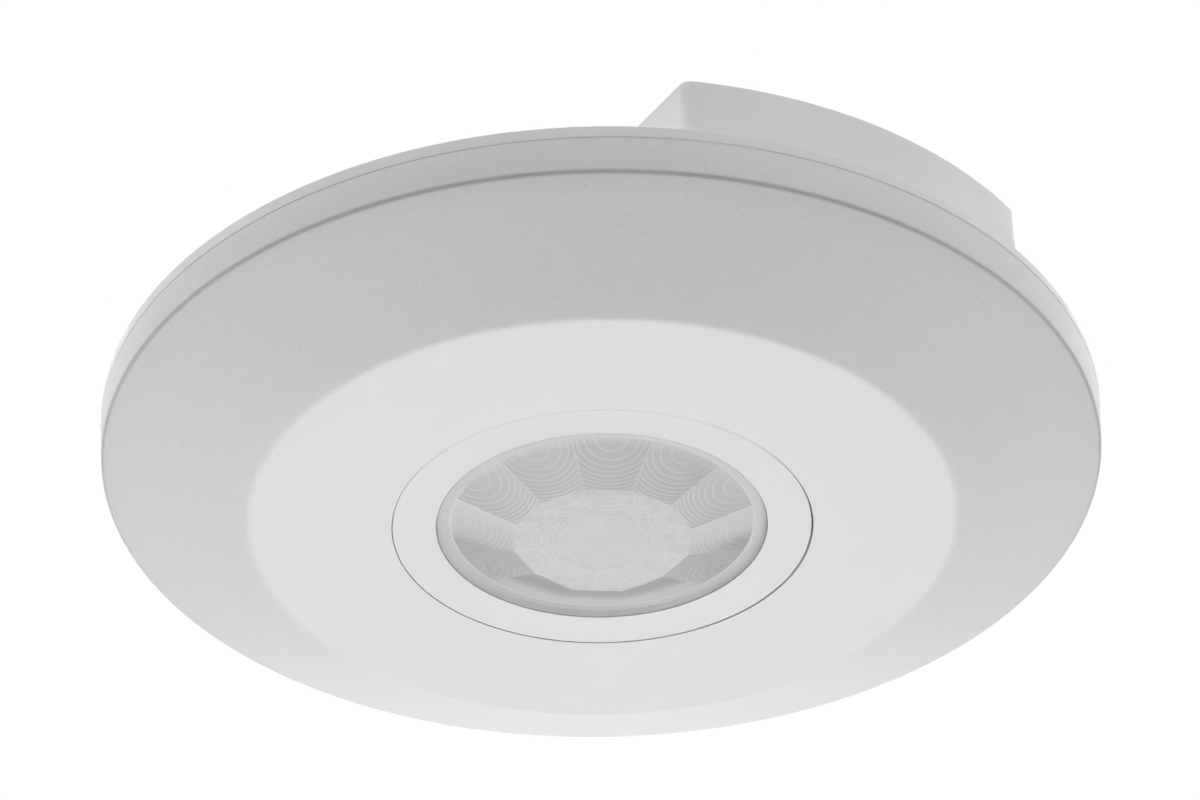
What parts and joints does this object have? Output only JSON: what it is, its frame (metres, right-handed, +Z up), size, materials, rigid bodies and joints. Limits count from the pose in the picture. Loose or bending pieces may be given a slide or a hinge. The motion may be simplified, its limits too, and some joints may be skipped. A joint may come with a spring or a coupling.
{
  "type": "ceiling motion sensor",
  "caption": "Slim round ceiling motion sensor: conical disc head with a faceted Fresnel lens in a trim ring, twist-locked to a bar-shaped ceiling base with screw terminals.",
  "frame": {"origin": "centre of the base's ceiling face, on the disc's axis", "axes": "+Z up into the ceiling, out of the ceiling face; the sensing face looks along -Z; the bar and its two fixing slots run along Y"},
  "size_m": [0.118, 0.118, 0.023],
  "materials": {
    "housing_white": "fine matte moulded texture",
    "trim_white": "smooth satin",
    "base_white": "satin moulded",
    "lens_milky": "translucent, fine concentric grooves",
    "rubber_grey": "soft matte",
    "terminal_grey": "satin",
    "zinc_steel": "zinc plated",
    "contact_brass": "stamped, lightly brushed",
    "board_green": "solder resist",
    "can_metal": "nickel plated, drawn",
    "filter_dark": "polished infrared filter",
    "lead_metal": "tinned",
    "funnel_white": "matte",
    "lamp_red": "clear tinted",
    "light_sensor_clear": "water clear",
    "pot_blue": "moulded",
    "adjuster_cream": "turned plastic",
    "relay_black": "moulded case",
    "capacitor_yellow": "moulded case",
    "capacitor_sleeve": "shrink sleeve",
    "protector_blue": "dipped coating",
    "fuse_body": "coated",
    "chip_black": "moulded package"
  },
  "bodies": {
    "mounting_base": {"mounting_base": "base_white", "cable_grommet": "rubber_grey", "terminal_block": "terminal_grey", "terminal_block_screws": "zinc_steel", "contact_strips": "contact_brass"},
    "sensor_head": {"back_plate": "base_white", "bridge_rectifier": "chip_black", "case_screws": "zinc_steel", "circuit_board": "board_green", "contact_blades": "contact_brass", "control_chip": "chip_black", "detector_legs": "lead_metal", "detector_window": "filter_dark", "fresnel_lens": "lens_milky", "front_cover": "housing_white", "fuse_resistor": "fuse_body", "indicator_lamp": "lamp_red", "infrared_detector": "can_metal", "light_level_potentiometer": "pot_blue", "light_sensor": "light_sensor_clear", "relay": "relay_black", "sensor_funnel": "funnel_white", "smoothing_capacitors": "capacitor_sleeve", "suppression_capacitor": "capacitor_yellow", "surge_protector": "protector_blue", "time_potentiometer": "pot_blue"},
    "trim_ring": {"trim_ring": "trim_white"},
    "time_adjuster": {"time_adjuster": "adjuster_cream"},
    "light_level_adjuster": {"light_level_adjuster": "adjuster_cream"},
    "terminal_screw_1": {"terminal_screw_1": "zinc_steel"},
    "terminal_screw_2": {"terminal_screw_2": "zinc_steel"},
    "terminal_screw_3": {"terminal_screw_3": "zinc_steel"},
    "terminal_cage_1": {"terminal_cage_1": "contact_brass"},
    "terminal_cage_2": {"terminal_cage_2": "contact_brass"},
    "terminal_cage_3": {"terminal_cage_3": "contact_brass"}
  },
  "joints": [
    {"name": "head_twist", "type": "hinge", "parent": "mounting_base", "child": "sensor_head", "pos_m": [0, 0, -0.00865], "axis": [0, 0, 1], "range_deg": [-16, 0]},
    {"name": "trim_ring_pull", "type": "slide", "parent": "sensor_head", "child": "trim_ring", "axis": [0, 0, -1], "range_m": [0, 0.015]},
    {"name": "time_adjust", "type": "hinge", "parent": "sensor_head", "child": "time_adjuster", "pos_m": [0.02255, 0, -0.01975], "axis": [0, 0, 1], "range_deg": [-135, 135]},
    {"name": "light_level_adjust", "type": "hinge", "parent": "sensor_head", "child": "light_level_adjuster", "pos_m": [-0.02255, 0, -0.01975], "axis": [0, 0, 1], "range_deg": [-135, 135]},
    {"name": "terminal_screw_1_turn", "type": "hinge", "parent": "mounting_base", "child": "terminal_screw_1", "pos_m": [-0.009, -0.011, -0.0065], "axis": [0, 0, 1], "range_deg": [0, 865]},
    {"name": "terminal_cage_1_rise", "type": "slide", "parent": "mounting_base", "child": "terminal_cage_1", "axis": [0, 0, -1], "range_m": [0, 0.00108]},
    {"name": "terminal_screw_2_turn", "type": "hinge", "parent": "mounting_base", "child": "terminal_screw_2", "pos_m": [0, -0.011, -0.0065], "axis": [0, 0, 1], "range_deg": [0, 865]},
    {"name": "terminal_cage_2_rise", "type": "slide", "parent": "mounting_base", "child": "terminal_cage_2", "axis": [0, 0, -1], "range_m": [0, 0.00108]},
    {"name": "terminal_screw_3_turn", "type": "hinge", "parent": "mounting_base", "child": "terminal_screw_3", "pos_m": [0.009, -0.011, -0.0065], "axis": [0, 0, 1], "range_deg": [0, 865]},
    {"name": "terminal_cage_3_rise", "type": "slide", "parent": "mounting_base", "child": "terminal_cage_3", "axis": [0, 0, -1], "range_m": [0, 0.00108]}
  ],
  "couplings": [
    {"joint": "terminal_screw_1_turn", "follows": "terminal_cage_1_rise", "rad_per_m": 13963},
    {"joint": "terminal_screw_2_turn", "follows": "terminal_cage_2_rise", "rad_per_m": 13963},
    {"joint": "terminal_screw_3_turn", "follows": "terminal_cage_3_rise", "rad_per_m": 13963}
  ]
}
